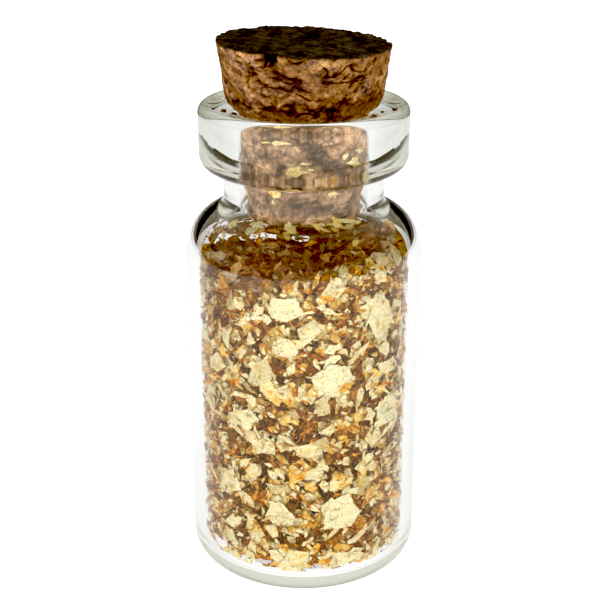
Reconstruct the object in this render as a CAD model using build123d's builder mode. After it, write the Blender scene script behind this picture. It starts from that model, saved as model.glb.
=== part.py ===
from build123d import *
import math
import os
import random

# Gold sample vial: a small glass vial with a flanged lip, a tapered cork stopper and a fill of
# loose gold-leaf flakes. Millimetres. The origin is the centre of the base, +Z runs up the axis,
# and the front is towards -Y. Angles round the axis start at the front and grow towards +X.

# Glass vial
BODY_RADIUS = 11.0
WALL = 1.0
FLOOR = 1.3
FLOOR_CROWN = 0.35
PUSH_UP = 0.5
STAND_RING_INNER = 7.4
HEEL_RADIUS = 2.0
INNER_HEEL_RADIUS = 1.5
SIDE_TOP = 31.2
SHOULDER_RADIUS = 4.4
NECK_RADIUS = 7.4
NECK_FILLET = 1.2
BORE_RADIUS = 6.0
INNER_NECK_FILLET = 2.2
LIP_RADIUS = 9.6
LIP_UNDERSIDE = 39.15
LIP_ROOT_FILLET = 0.5
LIP_LOWER_EDGE = 1.4
LIP_UPPER_EDGE = 0.8
LIP_TOP = 45.1
LIP_SLOPE = 12.0
MOUTH_FILLET = 1.4

# Cork stopper
CORK_TOP = 50.5
CORK_TOP_RADIUS = 7.95
CORK_TOP_TILT = 2.2
CORK_MOUTH_HEIGHT = 45.1
CORK_MOUTH_RADIUS = 6.85
CORK_SQUEEZED_TOP = 44.0
CORK_SQUEEZED_FOOT = 39.8
CORK_SQUEEZED_RADIUS = BORE_RADIUS - 0.10
CORK_BOTTOM = 34.6
CORK_BOTTOM_RADIUS = 5.05
CORK_EDGE = 0.35
CHIP_ANGLE = -23
CHIP_RADIUS = 0.95
CHIP_OFFSET = 0.2

# Fill of loose flakes, up to a slightly sloping top
FILL_BOTTOM = 1.8
FILL_RADIUS = 9.2
FILL_TOP = 29.8
FILL_TOP_TILT = 6.0
LEAF = 0.06

# Layers of flakes outside the fill, from the glass inwards
LARGE_LAYER = 9.66
MEDIUM_LAYER = 9.48
SMALL_LAYER = 9.32
MEDIUM_SIZE = 2.4
SMALL_SIZE = 1.6
MEDIUM_ROWS, MEDIUM_COLUMNS = 3, 16
SMALL_ROWS, SMALL_COLUMNS = 4, 18
FLAKE_CORNERS = 7

# Bands of the fill's side: name, lowest and highest
FILL_BANDS = [("lower", 2.2, 11.2), ("middle", 11.2, 20.2), ("upper", 20.2, 29.2)]

# Flakes that lie on top of the fill
HEAP_COUNT = 14
HEAP_RING = 8.0
HEAP_RISE = 0.83
HEAP_LEAN = 14
HEAP_WIDTH, HEAP_DEPTH = 2.6, 2.0

# Large flakes against the glass: angle, height of the middle, width, height, turn
LARGE_FLAKES = [
    (44, 26.7, 5.2, 5.8, 10),
    (16, 21.8, 4.4, 4.2, 30),
    (-9, 25.1, 2.4, 3.0, -10),
    (-10, 28.7, 3.6, 3.0, 0),
    (-22, 22.5, 2.6, 3.0, 20),
    (-36, 17.3, 2.6, 3.0, 0),
    (50, 17.5, 5.0, 3.4, 15),
    (51, 22.0, 3.2, 2.8, 0),
    (20, 8.1, 5.2, 4.8, -15),
    (-13, 8.5, 3.2, 3.4, 25),
    (-45, 10.5, 4.4, 3.6, 10),
    (-8, 3.1, 3.6, 2.2, 0),
    (22, 3.3, 4.2, 2.6, 5),
    (96, 12.0, 4.6, 4.2, 20),
    (118, 24.6, 5.0, 4.4, -20),
    (157, 16.8, 4.8, 5.2, 10),
    (183, 6.6, 4.2, 3.8, 30),
    (204, 25.4, 4.4, 5.0, 0),
    (238, 13.4, 5.0, 3.8, -10),
    (262, 21.0, 4.0, 4.6, 15),
]

# Flakes pressed between the cork and the glass of the neck: angle, height of the middle, width, height
NECK_FLAKES = [
    (-6, 40.6, 2.6, 1.2),
    (38, 41.2, 1.8, 2.0),
    (14, 39.4, 1.6, 1.4),
    (24, 38.2, 1.4, 0.9),
    (52, 39.9, 1.5, 1.6),
    (-24, 38.0, 1.5, 1.5),
    (-18, 43.0, 2.6, 0.7),
    (95, 41.5, 1.8, 1.4),
    (150, 40.2, 2.0, 1.2),
    (215, 42.2, 1.6, 1.6),
    (276, 39.2, 1.8, 1.1),
]

# Flakes that cling to the glass of the shoulder: angles, lowest slant, size and gap to the glass
SHOULDER_ANGLES = (-62, -28, 4, 33, 70, 120, 190, 250)
SHOULDER_SLANT = 58
SHOULDER_WIDTH, SHOULDER_HEIGHT = 1.7, 1.1
SHOULDER_GAP = 0.35

# The flake on the lip beside the cork
LIP_FLAKE_ANGLE = 36
LIP_FLAKE_PLACE = 8.1
LIP_FLAKE_WIDTH, LIP_FLAKE_DEPTH = 1.6, 1.1
LIP_FLAKE_LIFT = 0.05

# Crumbs of cork on the sloping top of the lip: angle and distance from the axis
LIP_CRUMBS = [
    (-66, 8.7),
    (-58, 8.3),
    (-50, 7.9),
    (-22, 8.1),
    (8, 8.3),
    (20, 8.0),
    (44, 8.6),
    (56, 8.2),
    (64, 8.8),
    (118, 8.2),
    (171, 8.5),
    (236, 8.1),
]
CRUMB_SIZE = 0.4
CRUMB_LIFT = 0.08


def outward(angle):
    """Unit vector from the axis at an angle round the vial."""
    turn = math.radians(angle)
    return Vector(math.sin(turn), -math.cos(turn), 0)


def along_wall(angle):
    """Unit vector round the wall, square to the outward one."""
    turn = math.radians(angle)
    return Vector(math.cos(turn), math.sin(turn), 0)


def wall_plane(angle, radius, height):
    """Plane that faces outward, touching a cylinder of this radius."""
    return Plane(
        origin=outward(angle) * radius + Vector(0, 0, height),
        x_dir=along_wall(angle),
        z_dir=outward(angle),
    )


def flake_outline(width, height, turn, seed):
    """Corners of one torn flake, irregular and centred on zero."""
    tear = random.Random(seed)
    corners = []
    for corner in range(FLAKE_CORNERS):
        angle = 2 * math.pi * (corner + tear.uniform(-0.3, 0.3)) / FLAKE_CORNERS
        reach = tear.uniform(0.8, 1.08)
        across = reach * width / 2 * math.cos(angle)
        up = reach * height / 2 * math.sin(angle)
        corners.append(Vector(across, up, 0).rotate(Axis.Z, turn))
    return [(point.X, point.Y) for point in corners]


def save(piece, name):
    """Label one finished sub-part and write its STEP file."""
    piece.part.label = name
    export_step(piece.part, f"parts/{name}.step")


def dome_radius(reach, rise):
    """Radius of a shallow dome that rises this much over this reach."""
    return (reach**2 + rise**2) / (2 * rise)


def glass_vial():
    """One piece of glass: floor, side, shoulder, neck and flanged lip, all of them round."""
    shoulder_centre = BODY_RADIUS - SHOULDER_RADIUS
    outer_turn = math.degrees(
        math.acos((NECK_RADIUS + NECK_FILLET - shoulder_centre) / (SHOULDER_RADIUS + NECK_FILLET))
    )
    inner_shoulder = SHOULDER_RADIUS - WALL
    inner_reach = inner_shoulder + INNER_NECK_FILLET
    inner_turn = math.degrees(math.acos((BORE_RADIUS + INNER_NECK_FILLET - shoulder_centre) / inner_reach))
    bore_foot = SIDE_TOP + inner_reach * math.sin(math.radians(inner_turn))
    slope = math.radians(LIP_SLOPE)
    mouth_edge = BORE_RADIUS + MOUTH_FILLET * (1 - math.sin(slope))
    with BuildPart() as vial:
        with BuildSketch(Plane.XZ):
            with BuildLine():
                RadiusArc((0, PUSH_UP), (STAND_RING_INNER, 0), dome_radius(STAND_RING_INNER, PUSH_UP))
                Line((STAND_RING_INNER, 0), (BODY_RADIUS - HEEL_RADIUS, 0))
                heel = JernArc((BODY_RADIUS - HEEL_RADIUS, 0), (1, 0), HEEL_RADIUS, 90)
                side = Line(heel @ 1, (BODY_RADIUS, SIDE_TOP))
                shoulder = JernArc(side @ 1, (0, 1), SHOULDER_RADIUS, outer_turn)
                neck_foot = JernArc(shoulder @ 1, shoulder % 1, NECK_FILLET, -outer_turn)
                neck = Line(neck_foot @ 1, (NECK_RADIUS, LIP_UNDERSIDE - LIP_ROOT_FILLET))
                lip_root = JernArc(neck @ 1, (0, 1), LIP_ROOT_FILLET, -90)
                underside = Line(lip_root @ 1, (LIP_RADIUS - LIP_LOWER_EDGE, LIP_UNDERSIDE))
                lower_edge = JernArc(underside @ 1, (1, 0), LIP_LOWER_EDGE, 90)
                rim = Line(lower_edge @ 1, (LIP_RADIUS, LIP_TOP - LIP_UPPER_EDGE))
                bead = JernArc(rim @ 1, (0, 1), LIP_UPPER_EDGE, 90 + LIP_SLOPE)
                bead_end = bead @ 1
                slope_drop = (bead_end.X - mouth_edge) * math.tan(slope)
                lip_slope = Line(bead_end, (mouth_edge, bead_end.Y - slope_drop))
                mouth = JernArc(lip_slope @ 1, lip_slope % 1, MOUTH_FILLET, 90 - LIP_SLOPE)
                bore = Line(mouth @ 1, (BORE_RADIUS, bore_foot))
                bore_end = JernArc(bore @ 1, (0, -1), INNER_NECK_FILLET, inner_turn)
                inside = JernArc(bore_end @ 1, bore_end % 1, inner_shoulder, -inner_turn)
                wall = Line(inside @ 1, (BODY_RADIUS - WALL, FLOOR + INNER_HEEL_RADIUS))
                corner = JernArc(wall @ 1, (0, -1), INNER_HEEL_RADIUS, -90)
                crown_reach = BODY_RADIUS - WALL - INNER_HEEL_RADIUS
                RadiusArc((0, FLOOR + FLOOR_CROWN), corner @ 1, dome_radius(crown_reach, FLOOR_CROWN))
                Line((0, PUSH_UP), (0, FLOOR + FLOOR_CROWN))
            make_face()
        revolve(axis=Axis.Z)
    return vial


def cork_stopper():
    """Tapered plug of natural cork, squeezed where the bore holds it, with a chip out of its top edge."""
    with BuildPart() as cork:
        with BuildSketch(Plane.XZ):
            with BuildLine():
                Polyline(
                    (0, CORK_BOTTOM),
                    (CORK_BOTTOM_RADIUS - CORK_EDGE, CORK_BOTTOM),
                    (CORK_BOTTOM_RADIUS, CORK_BOTTOM + CORK_EDGE),
                    (CORK_SQUEEZED_RADIUS, CORK_SQUEEZED_FOOT),
                    (CORK_SQUEEZED_RADIUS, CORK_SQUEEZED_TOP),
                    (CORK_MOUTH_RADIUS, CORK_MOUTH_HEIGHT),
                    (CORK_TOP_RADIUS + 0.1, CORK_TOP + 0.5),
                    (0, CORK_TOP + 0.5),
                    close=True,
                )
            make_face()
        revolve(axis=Axis.Z)
        top_face = Plane(origin=(0, 0, CORK_TOP), z_dir=Vector(0, 0, 1).rotate(Axis.Y, CORK_TOP_TILT))
        split(bisect_by=top_face, keep=Keep.BOTTOM)
        chamfer(cork.faces().sort_by(Axis.Z)[-1].edges(), CORK_EDGE)
        chip = outward(CHIP_ANGLE) * (CORK_TOP_RADIUS + CHIP_OFFSET)
        with Locations((chip.X, chip.Y, CORK_TOP)):
            Sphere(CHIP_RADIUS, mode=Mode.SUBTRACT)
    return cork


def flake_fill():
    """Closed stand-in for the mass of loose flakes in the middle of the vial."""
    with BuildPart() as fill:
        with BuildSketch(Plane.XY.offset(FILL_BOTTOM)):
            Circle(FILL_RADIUS)
        extrude(amount=FILL_TOP - FILL_BOTTOM + 2)
        top_face = Plane(origin=(0, 0, FILL_TOP), z_dir=Vector(0, 0, 1).rotate(Axis.Y, -FILL_TOP_TILT))
        split(bisect_by=top_face, keep=Keep.BOTTOM)
        fillet(fill.faces().sort_by(Axis.Z)[0].edges(), INNER_HEEL_RADIUS - 0.5)
    return fill


def large_flake(angle, height, width, tall, turn, seed):
    """One large flake, curved to lie along the glass."""
    with BuildPart() as flake:
        with BuildSketch(wall_plane(angle, LARGE_LAYER / 2, height)):
            Polygon(*flake_outline(width, tall, turn, seed), align=None)
        extrude(amount=LARGE_LAYER)
        Cylinder(LARGE_LAYER + LEAF, 2 * CORK_TOP, mode=Mode.INTERSECT)
        Cylinder(LARGE_LAYER, 2 * CORK_TOP, mode=Mode.SUBTRACT)
    return flake


def flake_layer(radius, size, rows, columns, lowest, highest, first_seed):
    """Staggered rows of flat flakes round the fill, each a separate solid."""
    scatter = random.Random(first_seed)
    row_step = (highest - lowest) / rows
    flakes = []
    with BuildPart() as layer:
        for row in range(rows):
            for column in range(columns):
                angle = 360 * (column + row % 2 / 2) / columns + scatter.uniform(-2, 2)
                height = lowest + (row + 0.5) * row_step
                outline = flake_outline(
                    size * scatter.uniform(0.8, 1.0),
                    size * scatter.uniform(0.7, 0.95),
                    scatter.uniform(0, 90),
                    scatter.random(),
                )
                with BuildSketch(wall_plane(angle, radius, height)):
                    Polygon(*outline, align=None)
                flakes.append(extrude(amount=LEAF, mode=Mode.PRIVATE))
        add(flakes)
    return layer


def heap_flakes():
    """Flakes that lie tilted on top of the fill, highest at the right of the vial."""
    scatter = random.Random(31)
    with BuildPart() as heap:
        for place in range(HEAP_COUNT):
            angle = 360 * place / HEAP_COUNT
            foot = outward(angle) * HEAP_RING
            rise = FILL_TOP + foot.X * math.tan(math.radians(FILL_TOP_TILT)) + HEAP_RISE
            lean = Vector(0, 0, 1).rotate(Axis.X, scatter.uniform(-HEAP_LEAN, HEAP_LEAN))
            lean = lean.rotate(Axis.Y, scatter.uniform(-HEAP_LEAN, HEAP_LEAN))
            with BuildSketch(Plane(origin=(foot.X, foot.Y, rise), x_dir=along_wall(angle), z_dir=lean)):
                Polygon(*flake_outline(HEAP_WIDTH, HEAP_DEPTH, 0, place), align=None)
            extrude(amount=LEAF)
    return heap


def neck_flakes():
    """Flakes pressed on the side of the cork, inside the neck."""
    layer = CORK_SQUEEZED_RADIUS + 0.01
    with BuildPart() as flakes:
        for seed, (angle, height, width, tall) in enumerate(NECK_FLAKES):
            with BuildSketch(wall_plane(angle, layer / 2, height)):
                Polygon(*flake_outline(width, tall, 0, seed), align=None)
            extrude(amount=layer)
        Cylinder(layer + LEAF / 2, 2 * CORK_TOP, mode=Mode.INTERSECT)
        Cylinder(layer, 2 * CORK_TOP, mode=Mode.SUBTRACT)
    return flakes


def shoulder_flakes():
    """Small flakes that hang on the inside of the glass, round the foot of the neck."""
    inner_shoulder = SHOULDER_RADIUS - WALL
    with BuildPart() as flakes:
        for seed, angle in enumerate(SHOULDER_ANGLES):
            up = math.radians(SHOULDER_SLANT + 3 * (seed % 3))
            facing = outward(angle) * math.cos(up) + Vector(0, 0, math.sin(up))
            foot = outward(angle) * (BODY_RADIUS - SHOULDER_RADIUS) + Vector(0, 0, SIDE_TOP)
            place = foot + facing * (inner_shoulder - SHOULDER_GAP)
            with BuildSketch(Plane(origin=place, x_dir=along_wall(angle), z_dir=facing)):
                Polygon(*flake_outline(SHOULDER_WIDTH, SHOULDER_HEIGHT, 0, seed + 50), align=None)
            extrude(amount=LEAF)
    return flakes


def lip_height(radius):
    """Height of the sloping top of the lip."""
    slope = math.radians(LIP_SLOPE)
    bead_end = LIP_RADIUS - LIP_UPPER_EDGE - LIP_UPPER_EDGE * math.sin(slope)
    bead_height = LIP_TOP - LIP_UPPER_EDGE * (1 - math.cos(slope))
    return bead_height - (bead_end - min(radius, bead_end)) * math.tan(slope)


def lip_flake():
    """One flake that lies on the lip beside the cork."""
    facing = (Vector(0, 0, 1) - outward(LIP_FLAKE_ANGLE) * math.tan(math.radians(LIP_SLOPE))).normalized()
    place = outward(LIP_FLAKE_ANGLE) * LIP_FLAKE_PLACE
    place += Vector(0, 0, lip_height(LIP_FLAKE_PLACE) + LIP_FLAKE_LIFT)
    with BuildPart() as flake:
        with BuildSketch(Plane(origin=place, x_dir=along_wall(LIP_FLAKE_ANGLE), z_dir=facing)):
            Polygon(*flake_outline(LIP_FLAKE_WIDTH, LIP_FLAKE_DEPTH, 20, 77), align=None)
        extrude(amount=LEAF)
    return flake


def cork_crumbs():
    """Crumbs of cork on the sloping top of the lip."""
    scatter = random.Random(7)
    with BuildPart() as crumbs:
        for angle, radius in LIP_CRUMBS:
            size = CRUMB_SIZE * scatter.uniform(0.6, 1.0)
            foot = outward(angle) * radius
            height = lip_height(radius + size) + CRUMB_LIFT
            with BuildSketch(Plane.XY.offset(height)):
                with Locations((foot.X, foot.Y)):
                    RegularPolygon(size, 5, rotation=scatter.uniform(0, 72))
            extrude(amount=size, taper=20)
    return crumbs


os.makedirs("parts", exist_ok=True)

save(glass_vial(), "glass_vial")
save(cork_stopper(), "cork_stopper")
save(flake_fill(), "flake_fill")
for number, flake in enumerate(LARGE_FLAKES, start=1):
    save(large_flake(*flake, seed=100 + number), f"large_flake_{number:02d}")
for band, (name, lowest, highest) in enumerate(FILL_BANDS):
    medium = flake_layer(
        MEDIUM_LAYER, MEDIUM_SIZE, MEDIUM_ROWS, MEDIUM_COLUMNS, lowest, highest, 200 + band
    )
    save(medium, f"medium_flakes_{name}")
    small = flake_layer(SMALL_LAYER, SMALL_SIZE, SMALL_ROWS, SMALL_COLUMNS, lowest, highest, 300 + band)
    save(small, f"small_flakes_{name}")
save(heap_flakes(), "heap_flakes")
save(neck_flakes(), "neck_flakes")
save(shoulder_flakes(), "shoulder_flakes")
save(lip_flake(), "lip_flake")
save(cork_crumbs(), "cork_crumbs")
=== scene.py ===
import math
import random

import bpy
import numpy as np
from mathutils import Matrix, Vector, noise


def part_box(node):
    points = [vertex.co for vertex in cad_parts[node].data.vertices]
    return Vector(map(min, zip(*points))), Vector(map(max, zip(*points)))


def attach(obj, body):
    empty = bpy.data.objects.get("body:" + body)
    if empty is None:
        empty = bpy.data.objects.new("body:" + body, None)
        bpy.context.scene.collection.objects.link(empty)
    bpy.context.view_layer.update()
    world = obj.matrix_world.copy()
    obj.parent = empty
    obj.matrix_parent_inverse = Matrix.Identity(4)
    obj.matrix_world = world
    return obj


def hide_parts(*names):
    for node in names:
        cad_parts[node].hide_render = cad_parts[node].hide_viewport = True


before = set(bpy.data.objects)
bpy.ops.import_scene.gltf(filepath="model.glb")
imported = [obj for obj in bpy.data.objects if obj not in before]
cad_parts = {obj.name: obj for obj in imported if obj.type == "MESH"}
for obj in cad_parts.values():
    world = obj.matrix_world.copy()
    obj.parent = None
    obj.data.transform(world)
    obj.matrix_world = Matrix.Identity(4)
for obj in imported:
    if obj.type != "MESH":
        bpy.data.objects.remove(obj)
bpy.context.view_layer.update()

# Gold sample vial: clear glass, natural cork and loose gold leaf. Metres, in the frame's own axes.
# Angles round the axis start at the front, -Y, and grow towards +X.

MM = 0.001

# ---------------------------------------------------------------- sizes from the frame

glass_low, glass_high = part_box("glass_vial")
cork_low, cork_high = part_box("cork_stopper")
fill_low, fill_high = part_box("flake_fill")

BODY_RADIUS = glass_high.x
LIP_TOP = glass_high.z
WALL = 1.0 * MM
INNER_RADIUS = BODY_RADIUS - WALL
FLOOR = 1.3 * MM
FLOOR_CROWN = 0.35 * MM
PUSH_UP = 0.5 * MM
STAND_RING_INNER = 7.4 * MM
HEEL_RADIUS = 2.0 * MM
INNER_HEEL_RADIUS = 1.5 * MM
SIDE_TOP = 31.2 * MM
SHOULDER_RADIUS = 4.4 * MM
NECK_RADIUS = 7.4 * MM
NECK_FILLET = 1.2 * MM
BORE_RADIUS = 6.0 * MM
INNER_NECK_FILLET = 2.2 * MM
LIP_RADIUS = 9.6 * MM
LIP_UNDERSIDE = 39.15 * MM
LIP_ROOT_FILLET = 0.5 * MM
LIP_LOWER_EDGE = 1.4 * MM
LIP_UPPER_EDGE = 0.8 * MM
LIP_SLOPE = math.radians(12)
MOUTH_FILLET = 0.9 * MM

SHOULDER_CENTRE = BODY_RADIUS - SHOULDER_RADIUS
INNER_SHOULDER = SHOULDER_RADIUS - WALL
INNER_TURN = math.acos((BORE_RADIUS + INNER_NECK_FILLET - SHOULDER_CENTRE) / (INNER_SHOULDER + INNER_NECK_FILLET))
BORE_FOOT = SIDE_TOP + (INNER_SHOULDER + INNER_NECK_FILLET) * math.sin(INNER_TURN)


# ---------------------------------------------------------------- node helpers

def new_material(name):
    """A node material with its Principled shader and output, ready to wire."""
    material = bpy.data.materials.new(name)
    material.use_nodes = True
    tree = material.node_tree
    return material, tree, tree.nodes["Principled BSDF"], tree.nodes["Material Output"]


def node(tree, kind, **settings):
    """One shader node; settings name its properties, or its inputs by name with spaces as underscores."""
    made = tree.nodes.new(kind)
    for key, value in settings.items():
        if hasattr(made, key):
            setattr(made, key, value)
        else:
            made.inputs[key.replace("_", " ")].default_value = value
    return made


def ramp(tree, source, stops):
    """Colour ramp from a list of (position, colour)."""
    made = tree.nodes.new("ShaderNodeValToRGB")
    elements = made.color_ramp.elements
    while len(elements) < len(stops):
        elements.new(0.5)
    for element, (position, colour) in zip(elements, stops):
        element.position = position
        element.color = (*colour, 1)
    tree.links.new(source, made.inputs["Fac"])
    return made.outputs["Color"]


def mix_colour(tree, factor, first, second, blend="MIX"):
    """Mix of two colours; each of the three inputs is a socket or a constant."""
    made = tree.nodes.new("ShaderNodeMix")
    made.data_type = "RGBA"
    made.blend_type = blend
    for socket, value in ((made.inputs[0], factor), (made.inputs[6], first), (made.inputs[7], second)):
        if isinstance(value, bpy.types.NodeSocket):
            tree.links.new(value, socket)
        elif isinstance(value, tuple):
            socket.default_value = (*value, 1)
        else:
            socket.default_value = value
    return made.outputs[2]


def maths(tree, operation, first, second=None):
    """One Math node."""
    made = tree.nodes.new("ShaderNodeMath")
    made.operation = operation
    for socket, value in zip(made.inputs, (first, second)):
        if isinstance(value, bpy.types.NodeSocket):
            tree.links.new(value, socket)
        elif value is not None:
            socket.default_value = value
    return made.outputs[0]


def noise_value(tree, scale, detail=3.0, roughness=0.55, distortion=0.0):
    """Noise over object coordinates; scale is in features per metre."""
    place = node(tree, "ShaderNodeTexCoord")
    made = node(tree, "ShaderNodeTexNoise", Scale=scale, Detail=detail, Roughness=roughness, Distortion=distortion)
    tree.links.new(place.outputs["Object"], made.inputs["Vector"])
    return made.outputs["Fac"]


def crease_lines(tree, scale, warp):
    """Distance to the nearest line of an irregular net of creases; scale is in cells per metre."""
    place = node(tree, "ShaderNodeTexCoord")
    sway = node(tree, "ShaderNodeTexNoise", Scale=scale * 1.7, Detail=3.0)
    tree.links.new(place.outputs["Object"], sway.inputs["Vector"])
    spread = node(tree, "ShaderNodeVectorMath", operation="MULTIPLY_ADD")
    tree.links.new(sway.outputs["Color"], spread.inputs[0])
    spread.inputs[1].default_value = (warp, warp, warp)
    tree.links.new(place.outputs["Object"], spread.inputs[2])
    net = node(tree, "ShaderNodeTexVoronoi", feature="DISTANCE_TO_EDGE", Scale=scale)
    tree.links.new(spread.outputs[0], net.inputs["Vector"])
    return net.outputs["Distance"]


def bump(tree, height, distance, strength=1.0):
    """Bump node for the shader's Normal."""
    made = node(tree, "ShaderNodeBump", Strength=strength, Distance=distance)
    tree.links.new(height, made.inputs["Height"])
    return made.outputs["Normal"]


def attribute(tree, name):
    """A named mesh attribute's value."""
    made = tree.nodes.new("ShaderNodeAttribute")
    made.attribute_name = name
    return made.outputs["Fac"]


# ---------------------------------------------------------------- materials

def glass_material():
    """Clear soda glass with a faint grey-green tint in its thickness. Light shines through it in shadow rays. A ray
    caught in it after more than three reflections ends in a painted pale glow.
    """
    material, tree, shader, output = new_material("clear_glass")
    shader.inputs["Base Color"].default_value = (1, 1, 1, 1)
    shader.inputs["Roughness"].default_value = 0.0
    shader.inputs["IOR"].default_value = 1.5
    shader.inputs["Transmission Weight"].default_value = 1.0
    waves = noise_value(tree, 260, detail=1.0)
    tree.links.new(bump(tree, waves, 0.03 * MM, 0.12), shader.inputs["Normal"])
    clear = node(tree, "ShaderNodeBsdfTransparent", Color=(0.94, 0.95, 0.93, 1))
    path = node(tree, "ShaderNodeLightPath")
    # Painted light: after more than three glossy reflections a ray ends in a pale emission, a glow of the glass, which
    # is no lamp.
    painted_glow_mix = node(tree, "ShaderNodeMixShader")
    tree.links.new(maths(tree, "GREATER_THAN", path.outputs["Glossy Depth"], 3.5), painted_glow_mix.inputs[0])
    tree.links.new(shader.outputs[0], painted_glow_mix.inputs[1])
    glow = node(tree, "ShaderNodeEmission", Color=(0.87, 0.87, 0.80, 1), Strength=1.0)
    tree.links.new(glow.outputs[0], painted_glow_mix.inputs[2])
    mixed = node(tree, "ShaderNodeMixShader")
    tree.links.new(path.outputs["Is Shadow Ray"], mixed.inputs[0])
    tree.links.new(painted_glow_mix.outputs[0], mixed.inputs[1])
    tree.links.new(clear.outputs[0], mixed.inputs[2])
    tree.links.new(mixed.outputs[0], output.inputs["Surface"])
    tint = node(tree, "ShaderNodeVolumeAbsorption", Color=(0.62, 0.64, 0.56, 1), Density=48.0)
    tree.links.new(tint.outputs[0], output.inputs["Volume"])
    return material


def gold_material(name, roughness, dust):
    """Metal leaf; each flake has its own tone and tarnish, with painted shade along creases and small dark specks over
    it. A noise paints the light and shade of its folds, and the tone ramp's dark brown end is painted shade.
    """
    material, tree, shader, _ = new_material(name)
    # Tone, from the flake's attribute and a noise over it: the noise paints the light and shade of the leaf's folds,
    # and the ramp's dark brown low end is painted shade, given to flakes that lie deep or under the cork.
    painted_fold_shade = noise_value(tree, 1900, detail=5.0, roughness=0.65, distortion=0.7)
    tone = maths(tree, "ADD", attribute(tree, "tone"), maths(tree, "MULTIPLY", painted_fold_shade, 1.95))
    tone = maths(tree, "SUBTRACT", tone, 0.92)
    gold = ramp(tree, tone, [
        (0.0, (0.32, 0.055, 0.005)),
        (0.16, (0.80, 0.27, 0.014)),
        (0.36, (1.0, 0.54, 0.07)),
        (0.56, (1.0, 0.73, 0.23)),
        (0.78, (1.0, 0.82, 0.40)),
        (1.0, (1.0, 0.91, 0.55)),
    ])
    gold = mix_colour(tree, attribute(tree, "tarnish"), gold, (0.54, 0.40, 0.14))
    torn = ramp(tree, noise_value(tree, 650, detail=2.0), [(0.44, (0, 0, 0)), (0.56, (1, 1, 1))])
    # Painted shade: dark brown lines along the creases of the leaf, where the torn mask lets them show.
    line = ramp(tree, crease_lines(tree, 1050, 0.0016), [(0.0, (0.9, 0.9, 0.9)), (0.045, (0, 0, 0))])
    line = maths(tree, "MULTIPLY", line, torn)
    gold = mix_colour(tree, line, gold, (0.44, 0.22, 0.03))
    speck = ramp(tree, noise_value(tree, 5200, detail=1.0), [(0.64, (0, 0, 0)), (0.72, (0.75, 0.75, 0.75))])
    gold = mix_colour(tree, speck, gold, (0.36, 0.18, 0.02))
    gold = mix_colour(tree, dust, gold, (0.72, 0.48, 0.44))
    tree.links.new(gold, shader.inputs["Base Color"])
    shader.inputs["Metallic"].default_value = 1.0
    rough = maths(tree, "ADD", maths(tree, "MULTIPLY", noise_value(tree, 1500), 0.2), roughness - 0.1)
    tree.links.new(rough, shader.inputs["Roughness"])
    crinkle = noise_value(tree, 3600, detail=4.0, roughness=0.6, distortion=0.8)
    tree.links.new(bump(tree, crinkle, 0.16 * MM, 0.9), shader.inputs["Normal"])
    return material


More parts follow.
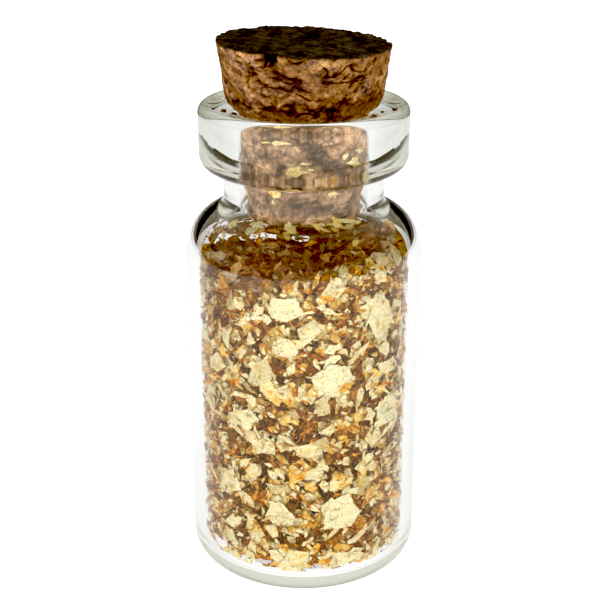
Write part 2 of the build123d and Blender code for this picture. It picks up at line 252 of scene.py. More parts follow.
def cork_material():
    """Raw cork: orange-brown layers outside the glass, paler and pinker where the glass squeezes it."""
    material, tree, shader, _ = new_material("natural_cork")
    place = node(tree, "ShaderNodeTexCoord")
    split = node(tree, "ShaderNodeSeparateXYZ")
    tree.links.new(place.outputs["Object"], split.inputs[0])
    height = maths(tree, "DIVIDE", maths(tree, "SUBTRACT", split.outputs["Z"], LIP_TOP - 1.0 * MM), 2.0 * MM)
    layered = node(tree, "ShaderNodeCombineXYZ")
    for axis, direction, spacing in ((0, (1, 0, 0), 1.5), (1, (0, 0.8, 0.6), 1.5), (2, (0, -0.6, 0.8), 0.65)):
        along = node(tree, "ShaderNodeVectorMath", operation="DOT_PRODUCT")
        tree.links.new(place.outputs["Object"], along.inputs[0])
        along.inputs[1].default_value = direction
        tree.links.new(maths(tree, "DIVIDE", along.outputs["Value"], spacing * MM), layered.inputs[axis])
    grain = node(tree, "ShaderNodeTexNoise", Scale=1.0, Detail=8.0, Roughness=0.66)
    tree.links.new(layered.outputs[0], grain.inputs["Vector"])
    outside = ramp(tree, grain.outputs["Fac"], [
        (0.35, (0.08, 0.066, 0.080)),
        (0.43, (0.22, 0.140, 0.115)),
        (0.54, (0.46, 0.260, 0.145)),
        (0.66, (0.60, 0.365, 0.190)),
        (0.76, (0.72, 0.480, 0.270)),
    ])
    inside = ramp(tree, noise_value(tree, 620, detail=7.0, roughness=0.65), [
        (0.36, (0.09, 0.056, 0.050)),
        (0.45, (0.40, 0.245, 0.150)),
        (0.54, (0.71, 0.435, 0.265)),
        (0.68, (0.96, 0.670, 0.430)),
    ])
    craze = ramp(tree, crease_lines(tree, 480, 0.0026), [(0.0, (0.9, 0.9, 0.9)), (0.06, (0, 0, 0))])
    there = ramp(tree, noise_value(tree, 330, detail=2.0), [(0.45, (0, 0, 0)), (0.53, (1, 1, 1))])
    inside = mix_colour(tree, maths(tree, "MULTIPLY", craze, there), inside, (0.15, 0.09, 0.075))
    side = mix_colour(tree, height, inside, outside)
    shade = maths(tree, "DIVIDE", maths(tree, "SUBTRACT", split.outputs["Z"], LIP_TOP + 0.2 * MM), 2.6 * MM)
    shade = ramp(tree, shade, [(0.0, (0.48, 0.46, 0.56)), (1.0, (1, 1, 1))])
    side = mix_colour(tree, height, side, mix_colour(tree, 1.0, side, shade, "MULTIPLY"))
    plate = mix_colour(tree, attribute(tree, "plate"), (0.66, 0.64, 0.64), (1.14, 1.12, 1.08))
    side = mix_colour(tree, 1.0, side, plate, "MULTIPLY")
    pores = ramp(tree, noise_value(tree, 2600, detail=4.0, roughness=0.7), [
        (0.38, (0.52, 0.49, 0.52)), (0.50, (0.92, 0.92, 0.92)), (0.66, (1.20, 1.18, 1.14)),
    ])
    side = mix_colour(tree, 1.0, side, pores, "MULTIPLY")
    end_grain = ramp(tree, noise_value(tree, 900, detail=6.0, roughness=0.7), [
        (0.38, (0.020, 0.025, 0.030)),
        (0.52, (0.032, 0.036, 0.041)),
        (0.72, (0.080, 0.066, 0.064)),
    ])
    side = mix_colour(tree, attribute(tree, "top"), side, end_grain)
    dark = mix_colour(tree, attribute(tree, "crack"), side, (0.075, 0.055, 0.055))
    tree.links.new(dark, shader.inputs["Base Color"])
    shader.inputs["Roughness"].default_value = 0.85
    shader.inputs["Specular IOR Level"].default_value = 0.25
    cells = noise_value(tree, 2400, detail=5.0, roughness=0.7)
    tree.links.new(bump(tree, maths(tree, "ADD", cells, grain.outputs["Fac"]), 0.16 * MM, 0.9), shader.inputs["Normal"])
    return material


def crumb_material():
    """Dark crumbs of cork."""
    material, tree, shader, _ = new_material("cork_crumb")
    colour = ramp(tree, noise_value(tree, 2500), [(0.3, (0.02, 0.012, 0.008)), (0.7, (0.13, 0.075, 0.045))])
    tree.links.new(colour, shader.inputs["Base Color"])
    shader.inputs["Roughness"].default_value = 0.9
    tree.links.new(bump(tree, noise_value(tree, 6000), 0.05 * MM), shader.inputs["Normal"])
    return material


def floor_material():
    """White paper that glows faintly. It ends some way behind the vial, as its reflections show."""
    material, tree, shader, _ = new_material("white_paper")
    place = node(tree, "ShaderNodeTexCoord")
    split = node(tree, "ShaderNodeSeparateXYZ")
    tree.links.new(place.outputs["Object"], split.inputs[0])
    aside = maths(tree, "MULTIPLY", maths(tree, "ABSOLUTE", split.outputs["X"]), 0.85)
    far = maths(tree, "MAXIMUM", aside, split.outputs["Y"])
    paper = ramp(tree, far, [(0.26, (1, 1, 1)), (0.34, (0.03, 0.03, 0.03))])
    front = ramp(tree, maths(tree, "MULTIPLY", split.outputs["Y"], -20.0), [(0.0, (0.68, 0.68, 0.68)), (1.0, (1, 1, 1))])
    paper = mix_colour(tree, 1.0, paper, front, "MULTIPLY")
    path = node(tree, "ShaderNodeLightPath")
    paper = mix_colour(tree, path.outputs["Is Camera Ray"], paper, (1.0, 1.0, 1.0))
    mottle = ramp(tree, noise_value(tree, 40), [(0.3, (0.42, 0.42, 0.42)), (0.7, (0.44, 0.44, 0.44))])
    tree.links.new(mix_colour(tree, 1.0, mottle, paper, "MULTIPLY"), shader.inputs["Base Color"])
    shader.inputs["Roughness"].default_value = 0.9
    shader.inputs["Specular IOR Level"].default_value = 0.1
    tree.links.new(paper, shader.inputs["Emission Color"])
    shader.inputs["Emission Strength"].default_value = 0.87
    return material


def card_material():
    """Black card that darkens the edges of the glass."""
    material, tree, shader, _ = new_material("black_card")
    fibre = ramp(tree, noise_value(tree, 300), [(0.3, (0.008, 0.008, 0.008)), (0.7, (0.016, 0.016, 0.015))])
    tree.links.new(fibre, shader.inputs["Base Color"])
    shader.inputs["Roughness"].default_value = 1.0
    shader.inputs["Specular IOR Level"].default_value = 0.0
    return material


# ---------------------------------------------------------------- mesh helpers

def make_object(name, vertices, faces, material, smooth=True, attributes=None):
    """Mesh object from lists; attributes maps a name to one value per vertex."""
    mesh = bpy.data.meshes.new(name)
    mesh.from_pydata(vertices, [], faces)
    mesh.polygons.foreach_set("use_smooth", [smooth] * len(mesh.polygons))
    for key, values in (attributes or {}).items():
        layer = mesh.attributes.new(key, "FLOAT", "POINT")
        layer.data.foreach_set("value", np.asarray(values, np.float32))
    mesh.materials.append(material)
    mesh.update()
    made = bpy.data.objects.new(name, mesh)
    bpy.context.scene.collection.objects.link(made)
    return made


def arc(centre_r, centre_z, radius, first, last, steps):
    """Points of a profile arc; angles in degrees from the outward direction."""
    points = []
    for step in range(steps + 1):
        angle = math.radians(first + (last - first) * step / steps)
        points.append((centre_r + radius * math.cos(angle), centre_z + radius * math.sin(angle)))
    return points


def straight(start, end, steps):
    """Points of a straight stretch, both ends left out."""
    return [
        (start[0] + (end[0] - start[0]) * step / steps, start[1] + (end[1] - start[1]) * step / steps)
        for step in range(1, steps)
    ]


def glass_profile():
    """Outline of the glass from the axis under the base, up the outside, and down the inside to the axis."""
    outer_turn = math.degrees(
        math.acos((NECK_RADIUS + NECK_FILLET - SHOULDER_CENTRE) / (SHOULDER_RADIUS + NECK_FILLET))
    )
    neck_foot = SIDE_TOP + (SHOULDER_RADIUS + NECK_FILLET) * math.sin(math.radians(outer_turn))
    inner_turn = math.degrees(INNER_TURN)
    slope = math.degrees(LIP_SLOPE)
    bead = arc(LIP_RADIUS - LIP_UPPER_EDGE, LIP_TOP - LIP_UPPER_EDGE, LIP_UPPER_EDGE, 0, 90 + slope, 12)
    mouth_edge = BORE_RADIUS + MOUTH_FILLET * (1 - math.sin(LIP_SLOPE))
    mouth_top = bead[-1][1] - (bead[-1][0] - mouth_edge) * math.tan(LIP_SLOPE)
    mouth_centre = mouth_top - MOUTH_FILLET * math.cos(LIP_SLOPE)
    mouth = arc(BORE_RADIUS + MOUTH_FILLET, mouth_centre, MOUTH_FILLET, 90 + slope, 180, 10)
    underside = (LIP_RADIUS - LIP_LOWER_EDGE, LIP_UNDERSIDE)

    points = [(0.0, PUSH_UP)]
    for step in range(1, 13):
        reach = step / 12
        points.append((STAND_RING_INNER * reach, PUSH_UP * (1 - reach**2)))
    points += straight(points[-1], (BODY_RADIUS - HEEL_RADIUS, 0), 3)
    points += arc(BODY_RADIUS - HEEL_RADIUS, HEEL_RADIUS, HEEL_RADIUS, -90, 0, 12)
    points += straight(points[-1], (BODY_RADIUS, SIDE_TOP), 40)
    points += arc(SHOULDER_CENTRE, SIDE_TOP, SHOULDER_RADIUS, 0, outer_turn, 18)
    points += arc(NECK_RADIUS + NECK_FILLET, neck_foot, NECK_FILLET, 180 + outer_turn, 180, 10)[1:]
    points += straight(points[-1], (NECK_RADIUS, LIP_UNDERSIDE - LIP_ROOT_FILLET), 5)
    points += arc(NECK_RADIUS + LIP_ROOT_FILLET, LIP_UNDERSIDE - LIP_ROOT_FILLET, LIP_ROOT_FILLET, 180, 90, 6)
    points += arc(underside[0], LIP_UNDERSIDE + LIP_LOWER_EDGE, LIP_LOWER_EDGE, -90, 0, 12)
    points += straight(points[-1], bead[0], 8)
    points += bead
    points += straight(bead[-1], mouth[0], 5)
    points += mouth
    points += straight(mouth[-1], (BORE_RADIUS, BORE_FOOT), 12)
    points += arc(BORE_RADIUS + INNER_NECK_FILLET, BORE_FOOT, INNER_NECK_FILLET, 180, 180 + inner_turn, 12)
    points += arc(SHOULDER_CENTRE, SIDE_TOP, INNER_SHOULDER, inner_turn, 0, 14)[1:]
    points += straight(points[-1], (INNER_RADIUS, FLOOR + INNER_HEEL_RADIUS), 40)
    inner_corner = INNER_RADIUS - INNER_HEEL_RADIUS
    points += arc(inner_corner, FLOOR + INNER_HEEL_RADIUS, INNER_HEEL_RADIUS, 0, -90, 10)
    for step in range(1, 12):
        reach = 1 - step / 12
        points.append((inner_corner * reach, FLOOR + FLOOR_CROWN * (1 - reach**2)))
    points.append((0.0, FLOOR + FLOOR_CROWN))
    return points


def lathe(profile, spokes):
    """Vertices and faces of a profile turned round the axis; its two ends are on the axis."""
    vertices = [(0.0, 0.0, profile[0][1])]
    for radius, height in profile[1:-1]:
        for spoke in range(spokes):
            angle = 2 * math.pi * spoke / spokes
            vertices.append((radius * math.sin(angle), -radius * math.cos(angle), height))
    vertices.append((0.0, 0.0, profile[-1][1]))
    faces = []
    last_ring = len(profile) - 3
    for spoke in range(spokes):
        following = (spoke + 1) % spokes
        faces.append((0, 1 + following, 1 + spoke))
        for ring in range(last_ring):
            low = 1 + ring * spokes
            high = low + spokes
            faces.append((low + spoke, low + following, high + following, high + spoke))
        top = 1 + last_ring * spokes
        faces.append((top + spoke, top + following, len(vertices) - 1))
    return vertices, faces


def outward(angle):
    """Unit vector from the axis at an angle round the vial."""
    return Vector((math.sin(angle), -math.cos(angle), 0))


# ---------------------------------------------------------------- glass

def build_glass(material):
    vertices, faces = lathe(glass_profile(), 240)
    made = make_object("vial_glass", vertices, faces, material)
    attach(made, "vial")
    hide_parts("glass_vial")
    return made


# ---------------------------------------------------------------- cork

def cork_radius(height):
    """Radius of the plug at a height: squeezed in the neck, swelling above the mouth."""
    stations = [
        (34.6, 4.9), (35.1, 5.08), (37.0, 5.35), (39.8, 5.84), (43.9, 5.84), (44.5, 6.15), (45.1, 6.85), (46.3, 7.15),
        (48.4, 7.5), (50.9, 7.9),
    ]
    heights = [pair[0] * MM for pair in stations]
    radii = [pair[1] * MM for pair in stations]
    return float(np.interp(height, heights, radii))


def cork_relief(angle, height, radius):
    """Layers of bark that dip towards the front: (depth in metres, crack 0 to 1, plate tone 0 to 1)."""
    x, y, z = radius * math.sin(angle) / MM, -radius * math.cos(angle) / MM, height / MM
    sway = noise.noise_vector(Vector((x, y, z)) * 0.45) * 0.9
    across = x + sway.x
    along = 0.8 * y + 0.6 * z + sway.y
    layer = 0.8 * z - 0.6 * y + sway.z
    seam = abs(noise.fractal(Vector((across / 3.0, along / 3.0, layer / 1.15)), 0.9, 2.0, 3))
    open_here = noise.noise(Vector((across / 2.2 + 9, along / 2.2, layer / 1.6)))
    crack = min(1.0, max(0.0, 1.45 - seam / 0.09)) * min(1.0, max(0.0, open_here * 5 + 1.2))
    pit = noise.noise(Vector((across / 0.8, along / 0.8 + 5, layer / 0.40)))
    crack = max(crack, min(1.0, max(0.0, (pit - 0.52) * 8)))
    plate = Vector((across / 3.2, along / 3.2, layer / 1.15))
    _, middles = noise.voronoi(plate + noise.noise_vector(plate * 1.6) * 0.4, distance_metric="DISTANCE")
    tone = noise.cell(middles[0] * 7.3)
    rough = noise.fractal(Vector((across / 0.9, along / 0.9, layer / 0.5)), 1.0, 2.0, 4)
    depth = (0.12 * tone - 0.34 * crack**0.8 + 0.07 * rough) * MM
    return depth, crack, tone


CHIP_ANGLE = math.radians(-23)


def chip_share(angle, below_top):
    """How far a point of the cork's side is inside the chip of its top edge, 0 to 1."""
    wide = 6.0 + 1.6 * noise.noise(Vector((below_top / MM * 1.7, 3.3, 0)))
    across = 1 - abs(math.degrees(angle - CHIP_ANGLE) + 1.2 * below_top / MM) / wide
    down = 1 - below_top / (1.25 * MM + 0.3 * MM * math.sin(angle * 90))
    return min(1.0, max(0.0, across * 3)) * min(1.0, max(0.0, down * 3))


def build_cork(material):
    spokes = 420
    levels = 148
    rings = 40
    vertices = []
    cracks = []
    plates = []
    tops = []
    tilt = math.radians(2.2)

    def top_height(x, y):
        crumble = noise.fractal(Vector((x, y, 0)) / MM * 0.9, 0.8, 2.1, 5)
        return cork_high.z - 0.32 * MM - x * math.tan(tilt) + 0.16 * crumble * MM

    for level in range(levels + 1):
        share = level / levels
        for spoke in range(spokes):
            angle = 2 * math.pi * spoke / spokes
            if angle > math.pi:
                angle -= 2 * math.pi
            edge_radius = cork_radius(cork_high.z)
            high = top_height(edge_radius * math.sin(angle), -edge_radius * math.cos(angle))
            height = cork_low.z + share * (high - cork_low.z)
            radius = cork_radius(height)
            depth, crack, tone = cork_relief(angle, height, radius)
            squeezed = 1 - min(1.0, max(0.0, (height - LIP_TOP + 0.8 * MM) / (1.2 * MM)))
            depth = depth * (1 - 0.75 * squeezed) - 0.06 * MM * squeezed
            if squeezed > 0:
                depth = min(depth, 0.03 * MM)
            chip = chip_share(angle, high - height)
            radius += depth - 0.75 * MM * chip
            vertices.append((radius * math.sin(angle), -radius * math.cos(angle), height))
            cracks.append(crack * (1 - 0.35 * squeezed) * (1 - chip))
            plates.append(tone)
            tops.append(max(chip, (share - 0.985) / 0.015))
    faces = []
    for level in range(levels):
        for spoke in range(spokes):
            following = (spoke + 1) % spokes
            low = level * spokes
            high = low + spokes
            faces.append((low + spoke, low + following, high + following, high + spoke))

    def cap(first_ring, is_top):
        """Rings from an edge ring to the middle of an end face."""
        previous = first_ring
        for ring in range(1, rings + 1):
            share = 1 - (ring / rings if ring < rings else 1)
            start = len(vertices)
            for spoke in range(spokes if ring < rings else 1):
                edge = vertices[first_ring + spoke]
                x, y = edge[0] * share, edge[1] * share
                pits = noise.fractal(Vector((x / MM * 0.9, y / MM * 0.9, 5.0 if is_top else 3.0)), 0.9, 2.1, 5)
                if is_top:
                    height = top_height(x, y) + min(0.0, 0.12 * pits) * MM
                else:
                    height = cork_low.z + 0.08 * abs(pits) * MM * (1 - share**8)
                vertices.append((x, y, height))
                cracks.append(min(1.0, max(0.0, -pits * 0.9 - 0.1)))
                plates.append(0.5)
                tops.append(1.0 if is_top else 0.25)
            for spoke in range(spokes):
                following = (spoke + 1) % spokes
                if ring < rings:
                    face = (previous + spoke, previous + following, start + following, start + spoke)
                else:
                    face = (previous + spoke, previous + following, start)
                faces.append(face if is_top else face[::-1])
            previous = start

    cap(levels * spokes, True)
    cap(0, False)
    made = make_object(
        "cork", vertices, faces, material, attributes={"crack": cracks, "plate": plates, "top": tops}
    )
    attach(made, "stopper")
    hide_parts("cork_stopper")
    return made


# ---------------------------------------------------------------- gold flakes

class Leaf:
    """Collects many flakes into one mesh; every flake has one tone, and some of them are tarnished."""

    def __init__(self, chance):
        self.vertices = []
        self.faces = []
        self.tones = []
        self.tarnishes = []
        self.chance = chance

    def add(self, places, faces, tone):
        start = len(self.vertices)
        tarnish = self.chance.uniform(0.3, 0.9) if self.chance.random() < 0.09 else 0.0
        self.vertices.extend(places)
        self.faces.extend(tuple(start + corner for corner in face) for face in faces)
        self.tones.extend([tone] * len(places))
        self.tarnishes.extend([tarnish] * len(places))

    def build(self, name, material, body, slot, replaced=()):
        values = {"tone": self.tones, "tarnish": self.tarnishes}
        made = make_object(name, self.vertices, self.faces, material, smooth=False, attributes=values)
        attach(made, body)
        if replaced:
            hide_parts(*replaced)
        return made


def torn_outline(chance, corner_count, edge_steps, deepest):
    """Points of a flake's edge, about one unit from its middle: straight tears between sharp corners."""
    corners = []
    for corner in range(corner_count):
        angle = 2 * math.pi * (corner + chance.uniform(-0.36, 0.36)) / corner_count
        reach = chance.uniform(deepest, 1.12)
        corners.append((reach * math.cos(angle), reach * math.sin(angle)))
    points = []
    for first, second in zip(corners, corners[1:] + corners[:1]):
        for step in range(edge_steps):
            share = step / edge_steps
            ragged = 1 + (chance.uniform(-0.07, 0.05) if step else 0)
            points.append((
                (first[0] + (second[0] - first[0]) * share) * ragged,
                (first[1] + (second[1] - first[1]) * share) * ragged,
            ))
    return points


def flake_shape(width, tall, chance, rings, edge_steps, crinkle, corners=None, deepest=0.62):
    """Flat coordinates (across, up, lift) in metres and faces of one torn, crinkled flake."""
    waves = [(chance.uniform(0, math.pi), chance.uniform(0, 6.28), chance.uniform(0.3, 1.3)) for _ in range(4)]
    curl_way = chance.uniform(0, math.pi)
    curl = chance.uniform(-1, 1) * crinkle * 2.0
    size = max(width, tall) / 2
    outline = torn_outline(chance, corners or chance.randint(4, 6 if rings < 5 else 8), edge_steps, deepest)
    spokes = len(outline)
    flat = [(0.0, 0.0)]
    for ring in range(1, rings + 1):
        share = ring / rings
        jitter = 0.0 if ring == rings else 0.35 / rings
        for x, y in outline:
            flat.append((
                (x * share + chance.uniform(-jitter, jitter)) * width / 2,
                (y * share + chance.uniform(-jitter, jitter)) * tall / 2,
            ))
    points = []
    for across, up in flat:
        lift = 0.0
        for way, phase, spacing in waves:
            along = (across * math.cos(way) + up * math.sin(way)) / MM
            lift += crinkle * spacing * 0.5 * abs(((along / spacing + phase) % 2) - 1)
        along = (across * math.cos(curl_way) + up * math.sin(curl_way)) / size
        lift += curl * along**2
        points.append((across, up, lift))
    faces = [(0, 1 + spoke, 1 + (spoke + 1) % spokes) for spoke in range(spokes)]
    for ring in range(rings - 1):
        low = 1 + ring * spokes
        high = low + spokes
        for spoke in range(spokes):
            following = (spoke + 1) % spokes
            faces.append((low + spoke, high + spoke, high + following))
            faces.append((low + spoke, high + following, low + following))
    return points, faces


CLEAR_OF_GLASS = 0.12 * MM
CLEAR_OF_FILLET = 0.22 * MM
SHIFT = 1.0 * MM


def keep_inside(point, shift):
    """Moves a point that would be in the glass, before or after a rise by shift, back to the inner face."""
    x, y, z = point
    z = max(z, FLOOR + FLOOR_CROWN + CLEAR_OF_GLASS)
    limit = INNER_RADIUS - CLEAR_OF_GLASS
    if z < FLOOR + INNER_HEEL_RADIUS:
        drop = FLOOR + INNER_HEEL_RADIUS - z
        limit = INNER_RADIUS - INNER_HEEL_RADIUS + math.sqrt(INNER_HEEL_RADIUS**2 - drop**2) - CLEAR_OF_GLASS
    elif z + shift > SIDE_TOP:
        rise = z + shift - SIDE_TOP
        if rise < INNER_SHOULDER * math.sin(INNER_TURN):
            limit = SHOULDER_CENTRE + math.sqrt(INNER_SHOULDER**2 - rise**2) - CLEAR_OF_GLASS
        else:
            drop = max(0.0, BORE_FOOT - z - shift)
            limit = BORE_RADIUS + INNER_NECK_FILLET - math.sqrt(INNER_NECK_FILLET**2 - drop**2) - CLEAR_OF_FILLET
    radius = math.hypot(x, y)
    if radius > limit:
        x, y = x * limit / radius, y * limit / radius
    return (x, y, z)


def wall_flake(leaf, angle, height, radius, width, tall, turn, tone, chance, rings, edge_steps, crinkle, tilt=0.0):
    """A flake that lies along the wall, bent to it, its crinkles inwards."""
    points, faces = flake_shape(width, tall, chance, rings, edge_steps, crinkle)
    tilt_way = chance.uniform(0, 2 * math.pi)
    placed = []
    for across, up, lift in points:
        along = across * math.cos(turn) - up * math.sin(turn)
        rise = across * math.sin(turn) + up * math.cos(turn)
        slant = (along * math.cos(tilt_way) + rise * math.sin(tilt_way)) * math.tan(tilt)
        reach = radius - abs(lift) + slant
        way = angle + along / radius
        placed.append(keep_inside((reach * math.sin(way), -reach * math.cos(way), height + rise), SHIFT))
    leaf.add(placed, faces, tone)


def loose_flake(leaf, place, facing, width, tall, tone, chance, rings, edge_steps, crinkle, shift=SHIFT):
    """A flake at a place, facing any way."""
    points, faces = flake_shape(width, tall, chance, rings, edge_steps, crinkle)
    facing = Vector(facing).normalized()
    first = facing.orthogonal().normalized()
    second = facing.cross(first)
    turn = chance.uniform(0, 2 * math.pi)
    across_way = first * math.cos(turn) + second * math.sin(turn)
    up_way = second * math.cos(turn) - first * math.sin(turn)
    placed = [keep_inside(Vector(place) + across_way * a + up_way * b + facing * c, shift) for a, b, c in points]
    leaf.add(placed, faces, tone)


def random_way(chance):
    """A direction with no bias."""
    up = chance.uniform(-1, 1)
    turn = chance.uniform(0, 2 * math.pi)
    flat = math.sqrt(1 - up * up)
    return Vector((flat * math.cos(turn), flat * math.sin(turn), up))


def heap_top(angle, radius):
    """Height of the top of the flakes: higher at the right and at the front."""
    share = radius / INNER_RADIUS
    sway = 0.3 * math.sin(angle * 3 + 1.0) + 0.2 * math.sin(angle * 7 + 2.2)
    return fill_high.z + (0.5 + share * (1.35 * math.sin(angle) + sway)) * MM


def large_flakes(material):
    """Each big flake against the glass, in the place and size of its CAD node."""
    for name in sorted(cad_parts):
        if not name.startswith("large_flake_"):
            continue
        chance = random.Random(name)
        low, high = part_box(name)
        centre = (low + high) / 2
        angle = math.atan2(centre.x, -centre.y)
        width = 2 * INNER_RADIUS * math.asin(min(0.95, math.hypot(high.x - low.x, high.y - low.y) / 2 / INNER_RADIUS))
        leaf = Leaf(chance)
        radius = INNER_RADIUS - CLEAR_OF_GLASS
        wall_flake(
            leaf, angle, centre.z, radius, width * 1.05, (high.z - low.z) * 1.05, 0.0,
            chance.uniform(0.95, 1.1), chance, 9, 6, 0.20 * MM,
        )
        leaf.build(f"leaf_{name}", material, "contents", "gold_leaf", (name,))


def band_flakes(material, band, seed):
    """Medium and small flakes of one third of the fill's height, crowded against the glass. Flakes that lie deeper get
    darker tones, painted shade between the flakes.
    """
    # The sorts that lie deeper get the darker tones: painted shade between the flakes nearest the glass.
    sorts = (
        # node, count, size from, to, depth from, to, tone from, to, share that lies flat, rings, edge steps
        ("medium", 250, 1.0, 2.9, 0.0, 0.4, 0.74, 1.0, 0.9, 3, 3),
        ("medium", 70, 1.2, 3.0, 0.1, 0.5, 0.25, 0.50, 0.7, 4, 3),
        ("small", 800, 0.4, 1.2, 0.0, 0.5, 0.60, 1.0, 0.7, 1, 2),
        ("small", 2100, 0.5, 2.2, 0.35, 1.2, 0.0, 0.60, 0.25, 2, 1),
    )
    leaves = {}
    for kind, count, smallest, largest, shallow, deep, dim, bright, flat, rings, edge_steps in sorts:
        name = f"{kind}_flakes_{band}"
        low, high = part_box(name)
        chance = random.Random(f"{seed}{kind}{count}")
        leaf = leaves.setdefault(name, Leaf(chance))
        bottom = low.z - 0.6 * MM
        top = high.z + (3.6 if band == "upper" else 0.6) * MM
        count = round(count * (top - bottom) / (9.6 * MM))
        for _ in range(count):
            angle = chance.uniform(-math.pi, math.pi)
            height = chance.uniform(bottom, top)
            depth = chance.uniform(shallow, deep)
            radius = INNER_RADIUS - CLEAR_OF_GLASS - depth * MM
            if height > heap_top(angle, radius):
                continue
            width = (smallest + (largest - smallest) * chance.random()**1.6) * MM
            tall = width * chance.uniform(0.3, 0.95)
            tone = chance.uniform(dim, bright)
            if chance.random() < flat:
                wall_flake(
                    leaf, angle, height, radius, width, tall, chance.uniform(0, math.pi), tone, chance,
                    rings, edge_steps, 0.10 * MM, chance.uniform(0, 0.22),
                )
            else:
                facing = outward(angle) + random_way(chance) * 1.3
                place = outward(angle) * radius + Vector((0, 0, height))
                loose_flake(leaf, place, facing, width, tall * 0.7, tone, chance, rings, edge_steps, 0.14 * MM)
    for name, leaf in leaves.items():
        leaf.build(f"leaf_{name}", material, "contents", "gold_leaf", (name,))


def fill_flakes(material):
    """Crumpled flakes behind those at the glass, and a closed core that keeps light from passing through. Both take
    dark tones, painted shade deep in the fill.
    """
    chance = random.Random("fill")
    leaf = Leaf(chance)
    core_radius = 8.3 * MM
    bottom = fill_low.z + 0.3 * MM
    steps = 50
    profile = [(0.0, 0.0)] + [(core_radius, step / steps) for step in range(steps + 1)]
    profile += [(core_radius * share, 1.0) for share in (0.85, 0.7, 0.55, 0.4, 0.2)] + [(0.0, 1.0)]
    vertices, faces = lathe(profile, 96)
    rough = []
    for x, y, share in vertices:
        top = heap_top(math.atan2(x, -y), math.hypot(x, y)) - 0.9 * MM
        z = bottom + (top - bottom) * share
        lump = noise.fractal(Vector((x, y, z)) / MM * 0.8, 1.0, 2.0, 3)
        rough.append((x * (1 + 0.05 * lump), y * (1 + 0.05 * lump), z + (0.25 * lump * MM if share > 0.99 else 0.0)))
    # Painted shade: the core takes the darkest tone.
    leaf.add(rough, faces, 0.0)
    for _ in range(1500):
        angle = chance.uniform(-math.pi, math.pi)
        radius = chance.uniform(8.2, 9.2) * MM
        height = chance.uniform(fill_low.z, heap_top(angle, radius))
        width = chance.uniform(1.0, 2.6) * MM
        facing = outward(angle) * 0.6 + random_way(chance)
        place = outward(angle) * radius + Vector((0, 0, height))
        # Painted shade: these flakes take only the dark half of the tones.
        loose_flake(
            leaf, place, facing, width, width * chance.uniform(0.4, 0.9), chance.uniform(0.0, 0.5), chance, 1, 2,
            0.10 * MM,
        )
    leaf.build("leaf_fill", material, "contents", "loose_gold_leaf", ("flake_fill",))


def heap_flakes(material):
    """Flakes on the top of the fill, under the cork; darker in the middle and at the back, painted shade of the cork.
    """
    chance = random.Random("heap")
    leaf = Leaf(chance)
    for number in range(1700):
        angle = chance.uniform(-math.pi, math.pi)
        radius = INNER_RADIUS * math.sqrt(chance.random()) * 0.97
        height = heap_top(angle, radius) - chance.uniform(0.0, 1.2) * MM
        if number % 5 < 2:
            angle = math.pi + chance.gauss(0, 0.8)
            radius = INNER_RADIUS * 0.97
            height += chance.uniform(1.0, 3.2) * MM * math.cos(min(1.5, abs(angle - math.pi)))
        width = chance.uniform(0.6, 2.2) * MM
        facing = Vector((0, 0, 1)) + random_way(chance) * 1.0
        place = outward(angle) * radius + Vector((0, 0, height))
        # Painted shade under the cork: flakes in the middle and at the back are pale less often than those at the rim
        # at the front and sides.
        tone = chance.uniform(0.0, 0.4)
        if chance.random() < (0.75 if radius > 0.72 * INNER_RADIUS and math.cos(angle) > -0.3 else 0.42):
            tone = chance.uniform(0.6, 1.0)
        loose_flake(
            leaf, place, facing, width, width * chance.uniform(0.3, 0.9), tone, chance, 2, 2, 0.10 * MM,
        )
    leaf.build("leaf_heap", material, "contents", "gold_leaf", ("heap_flakes",))


def separate_parts(name):
    """Middle and size of each separate solid in a CAD node's mesh."""
    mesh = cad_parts[name].data
    owner = list(range(len(mesh.vertices)))

    def find(index):
        while owner[index] != index:
            owner[index] = owner[owner[index]]
            index = owner[index]
        return index

    seen = {}
    for index, vertex in enumerate(mesh.vertices):
        key = tuple(round(value / (0.002 * MM)) for value in vertex.co)
        first = seen.setdefault(key, index)
        owner[find(index)] = find(first)
    for polygon in mesh.polygons:
        corners = list(polygon.vertices)
        for corner in corners[1:]:
            owner[find(corner)] = find(corners[0])
    groups = {}
    for index, vertex in enumerate(mesh.vertices):
        groups.setdefault(find(index), []).append(vertex.co)
    parts = []
    for points in groups.values():
        low = Vector([min(point[axis] for point in points) for axis in range(3)])
        high = Vector([max(point[axis] for point in points) for axis in range(3)])
        parts.append(((low + high) / 2, high - low))
    return sorted(parts, key=lambda part: tuple(part[0]))


def neck_flakes(material):
    """Torn bits pressed between the cork and the neck; they ride with the cork."""
    chance = random.Random("neck")
    leaf = Leaf(chance)
    for centre, size in separate_parts("neck_flakes"):
        angle = math.atan2(centre.x, -centre.y)
        width = math.hypot(size.x, size.y)
        for bit in range(5):
            share = 0.85 if bit == 0 else chance.uniform(0.12, 0.4)
            aside = 0 if bit == 0 else chance.uniform(-0.5, 0.5) * width
            above = 0 if bit == 0 else chance.uniform(-0.6, 0.6) * size.z
            points, faces = flake_shape(width * share, size.z * share, chance, 3, 2, 0.03 * MM, corners=9, deepest=0.3)
            placed = []
            for across, up, lift in points:
                reach = 5.97 * MM - min(abs(lift), 0.06 * MM)
                way = angle + (across + aside) / reach
                placed.append((reach * math.sin(way), -reach * math.cos(way), centre.z + up + above))
            leaf.add(placed, faces, chance.uniform(0.55, 0.9))
    leaf.build("leaf_neck", material, "stopper", "gold_leaf", ("neck_flakes",))


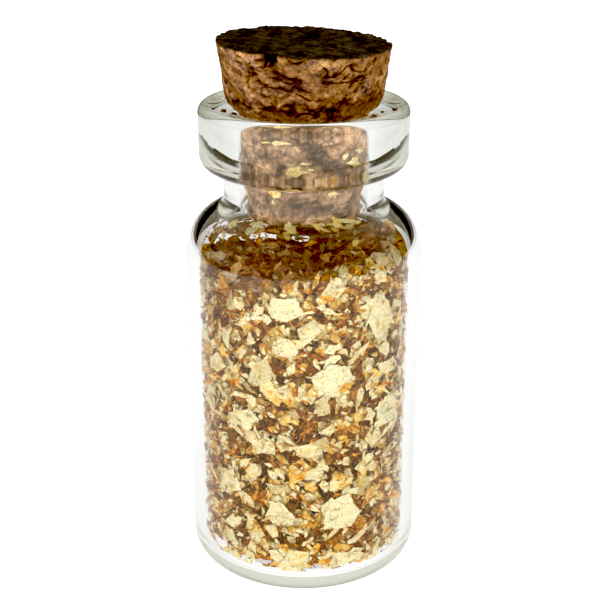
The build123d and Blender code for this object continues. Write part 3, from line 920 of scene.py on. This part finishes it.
def shoulder_flakes(material):
    """Small flakes that cling to the inside of the shoulder."""
    chance = random.Random("shoulder")
    leaf = Leaf(chance)
    for centre, size in separate_parts("shoulder_flakes"):
        flat = Vector((centre.x, centre.y, 0))
        facing = centre - flat.normalized() * SHOULDER_CENTRE - Vector((0, 0, SIDE_TOP))
        width = max(size)
        loose_flake(leaf, centre, facing, width, width * 0.5, chance.uniform(0.1, 0.5), chance, 3, 2, 0.12 * MM, 0.0)
    for middle, spread in ((-9, 5), (13, 4), (25, 5), (40, 8), (-38, 8)):
        for _ in range(5):
            angle = math.radians(chance.gauss(middle, spread))
            turn = math.radians(chance.uniform(22, 68))
            reach = INNER_NECK_FILLET + 0.25 * MM
            radius = BORE_RADIUS + INNER_NECK_FILLET - reach * math.cos(turn)
            place = outward(angle) * radius + Vector((0, 0, BORE_FOOT - reach * math.sin(turn)))
            facing = outward(angle) * math.cos(turn) + Vector((0, 0, math.sin(turn)))
            width = chance.uniform(0.8, 1.9) * MM
            loose_flake(leaf, place, facing, width, width * 0.5, chance.uniform(0.5, 0.9), chance, 3, 2, 0.10 * MM, 0.0)
    leaf.build("leaf_shoulder", material, "vial", "gold_leaf", ("shoulder_flakes",))


def lip_flake(material):
    """The flake beside the cork, lying on the lip."""
    chance = random.Random("lip")
    low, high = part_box("lip_flake")
    centre = (low + high) / 2
    points, faces = flake_shape((high.x - low.x) * 1.2, (high.y - low.y), chance, 4, 4, 0.05 * MM)
    leaf = Leaf(chance)
    leaf.add([(centre.x + a, centre.y + b, high.z + 0.02 * MM + abs(c)) for a, b, c in points], faces, 0.8)
    leaf.build("leaf_lip", material, "vial", "gold_leaf", ("lip_flake",))


def build_crumbs(material):
    """Grains of bark in the places of the CAD crumbs, each with a few finer grains round it."""
    chance = random.Random("crumbs")
    vertices = []
    faces = []
    for number, (centre, size) in enumerate(separate_parts("cork_crumbs")):
        for grain in range(4):
            lump, lump_faces = lathe(arc(0, 0, 1, -90, 90, 6), 9)
            start = len(vertices)
            aside = chance.uniform(-0.5, 0.5) * MM if grain else 0
            share = (chance.uniform(0.35, 0.6) if grain == 0 else chance.uniform(0.12, 0.25)) * size.x
            turn = outward(math.atan2(centre.x, -centre.y) + aside / (8.3 * MM)) * math.hypot(centre.x, centre.y)
            base = centre.z - size.z / 2 + share * 0.3
            for point in lump:
                place = Vector(point)
                place *= 1 + 0.5 * noise.noise(place * 1.9 + Vector((number * 3.7, grain * 5.1, 0)))
                vertices.append((
                    turn.x + place.x * share * 0.75, turn.y + place.y * share * 0.45, base + place.z * share * 0.35
                ))
            faces.extend(tuple(start + corner for corner in face) for face in lump_faces)
    made = make_object("crumbs", vertices, faces, material, smooth=False)
    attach(made, "vial")
    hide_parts("cork_crumbs")


# ---------------------------------------------------------------- stage

def build_stage():
    """White floor, pale world and soft boxes."""
    scene = bpy.context.scene
    floor = make_object("floor", [(-3, -3, 0), (3, -3, 0), (3, 3, 0), (-3, 3, 0)], [(0, 1, 2, 3)], floor_material())

    world = bpy.data.worlds.new("studio")
    scene.world = world
    world.use_nodes = True
    tree = world.node_tree
    place = node(tree, "ShaderNodeTexCoord")
    split = node(tree, "ShaderNodeSeparateXYZ")
    tree.links.new(place.outputs["Generated"], split.inputs[0])
    back = ramp(tree, split.outputs["Z"], [
        (0.0, (0.03, 0.03, 0.03)), (0.22, (0.03, 0.03, 0.03)), (0.27, (0.06, 0.06, 0.05)), (0.34, (0.12, 0.12, 0.11)),
        (0.40, (0.58, 0.58, 0.53)), (0.60, (0.75, 0.75, 0.73)),
    ])
    front = ramp(tree, split.outputs["Z"], [(0.02, (0.95, 0.95, 0.95)), (0.3, (0.8, 0.8, 0.8)), (0.8, (0.6, 0.6, 0.6))])
    rear = maths(tree, "MULTIPLY", maths(tree, "ADD", split.outputs["Y"], -0.15), 4.0)
    side = ramp(tree, rear, [(0.0, (0, 0, 0)), (1.0, (1, 1, 1))])
    sky = mix_colour(tree, side, front, back)
    path = node(tree, "ShaderNodeLightPath")
    tree.links.new(
        mix_colour(tree, path.outputs["Is Camera Ray"], sky, (1.0, 1.0, 1.0)), tree.nodes["Background"].inputs["Color"]
    )
    tree.nodes["Background"].inputs["Strength"].default_value = 1.0

    def softbox(name, place, size, power):
        light = bpy.data.lights.new(name, "AREA")
        light.shape = "RECTANGLE"
        light.size, light.size_y = size
        light.energy = power
        made = bpy.data.objects.new(name, light)
        scene.collection.objects.link(made)
        made.location = place
        target = Vector((0, 0, 0.025))
        made.rotation_euler = (target - Vector(place)).to_track_quat("-Z", "Y").to_euler()
        made.visible_glossy = False
        made.visible_transmission = False
        return made

    card = card_material()
    for way in (-1, 1):
        corners = [(way * x, 0.11, z) for x, z in ((0.025, 0.018), (0.20, 0.018), (0.20, 0.062), (0.025, 0.062))]
        made = make_object(f"card_{'left' if way < 0 else 'right'}", corners, [(0, 1, 2, 3)], card)
        made.visible_camera = False
        made.visible_shadow = False

    softbox("key_light", (-0.24, -0.26, 0.34), (0.30, 0.34), 2.1)
    softbox("fill_light", (0.30, -0.10, 0.24), (0.16, 0.34), 1.0)


def build_camera():
    """Long lens, looking down at the front of the vial."""
    data = bpy.data.cameras.new("camera")
    data.lens = 78.97
    data.sensor_width = 36
    data.clip_start = 0.005
    data.clip_end = 10
    camera = bpy.data.objects.new("camera", data)
    bpy.context.scene.collection.objects.link(camera)
    camera.location = (-0.35 * MM, -116.9 * MM, 71.56 * MM)
    camera.rotation_euler = (math.radians(90 - 21.34), 0, 0)
    bpy.context.scene.camera = camera


# ---------------------------------------------------------------- the vial

build_camera()
build_stage()
build_glass(glass_material())
build_cork(cork_material())
gold = gold_material("gold_leaf", 0.30, 0.0)
large_flakes(gold)
for band_name in ("lower", "middle", "upper"):
    band_flakes(gold, band_name, band_name)
fill_flakes(gold_material("gold_leaf_deep", 0.42, 0.0))
heap_flakes(gold_material("gold_leaf_dusty", 0.30, 0.3))
neck_flakes(gold)
shoulder_flakes(gold)
lip_flake(gold)
build_crumbs(crumb_material())

view_settings = bpy.context.scene.view_settings
view_settings.view_transform = "Standard"
view_settings.use_curve_mapping = True
view_settings.curve_mapping.black_level = (0.048, 0.062, 0.085)
view_settings.curve_mapping.white_level = (0.93, 0.93, 0.93)
view_settings.curve_mapping.update()
